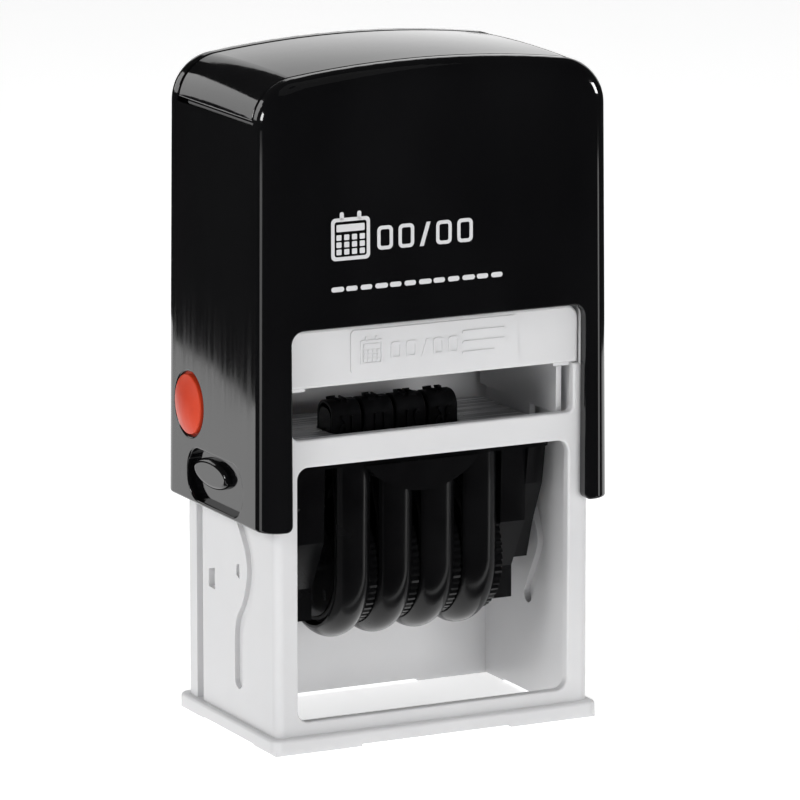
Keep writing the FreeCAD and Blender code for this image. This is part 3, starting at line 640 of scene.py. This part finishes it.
def camera():
    """Long lens at the front left, slightly above."""
    back = Vector((
        math.sin(AZIMUTH) * math.cos(ELEVATION),
        -math.cos(AZIMUTH) * math.cos(ELEVATION),
        math.sin(ELEVATION),
    ))
    data = bpy.data.cameras.new("camera")
    data.lens = LENS
    data.clip_end = 20
    eye = bpy.data.objects.new("camera", data)
    bpy.context.scene.collection.objects.link(eye)
    eye.location = AIM + back * DISTANCE
    right = Vector((math.cos(AZIMUTH), math.sin(AZIMUTH), 0))
    up = right.cross(-back)
    aim = AIM + right * VIEW_OFFSET[0] + up * VIEW_OFFSET[1]
    eye.rotation_mode = "QUATERNION"
    eye.rotation_quaternion = (aim - eye.location).to_track_quat("-Z", "Y")
    bpy.context.scene.camera = eye


def softbox(name, place, size, power):
    """Rectangular light that faces the object; gloss doesn't see it, only the glow surfaces."""
    data = bpy.data.lights.new(name, "AREA")
    data.shape = "RECTANGLE"
    data.size, data.size_y = size
    data.energy = power
    lamp = bpy.data.objects.new(name, data)
    bpy.context.scene.collection.objects.link(lamp)
    lamp.location = place
    lamp.rotation_euler = (Vector(LIGHT_TARGET) - Vector(place)).to_track_quat("-Z", "Y").to_euler()
    lamp.visible_camera = False
    lamp.visible_glossy = False


def stage_mesh(name, rows, shader):
    """Stage surface between neighbouring rows of points."""
    mesh = bmesh.new()
    grid = [[mesh.verts.new(point) for point in row] for row in rows]
    for lower, upper in zip(grid, grid[1:]):
        for i in range(len(lower) - 1):
            mesh.faces.new((lower[i], lower[i + 1], upper[i + 1], upper[i]))
    data = bpy.data.meshes.new(name)
    mesh.to_mesh(data)
    mesh.free()
    data.materials.append(shader.material)
    item = bpy.data.objects.new(name, data)
    bpy.context.scene.collection.objects.link(item)
    return item


def floor():
    """Pale floor; in gloss the glow surfaces stand for the parts of it that show."""
    paper = Shader(
        "floor_paper", Base_Color=(0.93, 0.93, 0.93, 1), Roughness=0.7,
        Emission_Color=WHITE, Emission_Strength=0.6,
    )
    reach = 3.0
    ground = stage_mesh("floor", [[(x, y, 0) for x in (-reach, reach)] for y in (-reach, reach)], paper)
    ground.visible_glossy = False


def glow_surface(name, rows, strength, strength_high=None):
    """Lit surface that only gloss sees; its strength may change with height."""
    glow = Shader(
        name, Base_Color=(0, 0, 0, 1), Roughness=1.0,
        Emission_Color=WHITE, Emission_Strength=strength,
    )
    if strength_high is not None:
        split = glow.add("ShaderNodeSeparateXYZ")
        glow.link(glow.place, split, "Vector")
        lowest, highest = rows[0][0][2], rows[-1][0][2]
        fade = glow.spread(split.outputs["Z"], strength, strength_high, lowest, highest)
        glow.link(fade, glow.surface, "Emission Strength")
    surface = stage_mesh(name, rows, glow)
    surface.visible_camera = False
    surface.visible_diffuse = False
    surface.visible_shadow = False


def polar(centre, distance, azimuth, elevation=0.0):
    """Point at a distance and direction from centre; angles in degrees, azimuth from +X."""
    turn = math.radians(azimuth)
    lift = math.radians(elevation)
    level = distance * math.cos(lift)
    return (
        centre[0] + level * math.cos(turn),
        centre[1] + level * math.sin(turn),
        centre[2] + distance * math.sin(lift),
    )


def steps_between(limits, count=8):
    """Evenly spaced values from the first limit to the second."""
    return [limits[0] + (limits[1] - limits[0]) * i / count for i in range(count + 1)]


def glow_floor(name, sector, reach, strength):
    """Lit sector of floor from the cover's front left corner; reach is its radius at each side."""
    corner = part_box("cover_shell")[0]
    apex = (corner[0], corner[1], GLOW_FLOOR_Z)
    tip_radius = 0.001
    turns = steps_between(sector)
    near = [polar(apex, tip_radius, turn) for turn in turns]
    far = [polar(apex, distance, turn) for distance, turn in zip(steps_between(reach), turns)]
    glow_surface(name, [near, far], strength)


def glow_patch(name, azimuth, elevation, strength, strength_high=None):
    """Lit patch of a large sphere round the object, between two azimuths and two elevations."""
    rows = [
        [polar(GLOW_CENTRE, GLOW_DISTANCE, turn, lift) for turn in steps_between(azimuth)]
        for lift in steps_between(elevation, 4)
    ]
    glow_surface(name, rows, strength, strength_high)


def studio():
    """World, softboxes, floor, glow surfaces and camera."""
    world = bpy.data.worlds.new("world")
    bpy.context.scene.world = world
    world.use_nodes = True
    background = world.node_tree.nodes["Background"]
    background.inputs["Color"].default_value = WHITE
    background.inputs["Strength"].default_value = 0.025
    bpy.context.scene.view_settings.view_transform = "Standard"
    floor()
    softbox("key_left", (-0.95, -0.25, 0.55), (0.45, 0.6), 6)
    softbox("top", (0.15, 0.1, 1.1), (0.5, 0.7), 4.5)
    softbox("front", (0.15, -1.3, 0.2), (0.6, 0.4), 6.5)
    glow_floor("near_floor_back", (0, 112.0), (0.36, 0.36), 1.4)
    glow_floor("near_floor_edge", (112.0, 115.2), (0.35, 0.272), 1.4)
    glow_floor("near_floor_side", (115.2, 121), (0.272, 0.26), 1.4)
    glow_floor("floor_left", (152, 168), (0.6, 0.6), 1.6)
    glow_floor("floor_right", (-24, -15), (0.6, 0.6), 2.0)
    glow_patch("back_wall", (35, 86), (0, 24), 1.35, 0.75)
    glow_patch("back_left_wall", (104, 122), (1, 21), 1.5, 1.9)
    glow_patch("glint_left", (150, 164), (8, 20), 16)
    glow_patch("glint_right", (-26, -12), (2, 14), 20)
    glow_patch("ceiling", (0, 360), (62, 84), 0.12)
    camera()


dress_cad_nodes()
return_spring()
ink_pad()
date_bands()
cover_print()
tray_emboss()
studio()
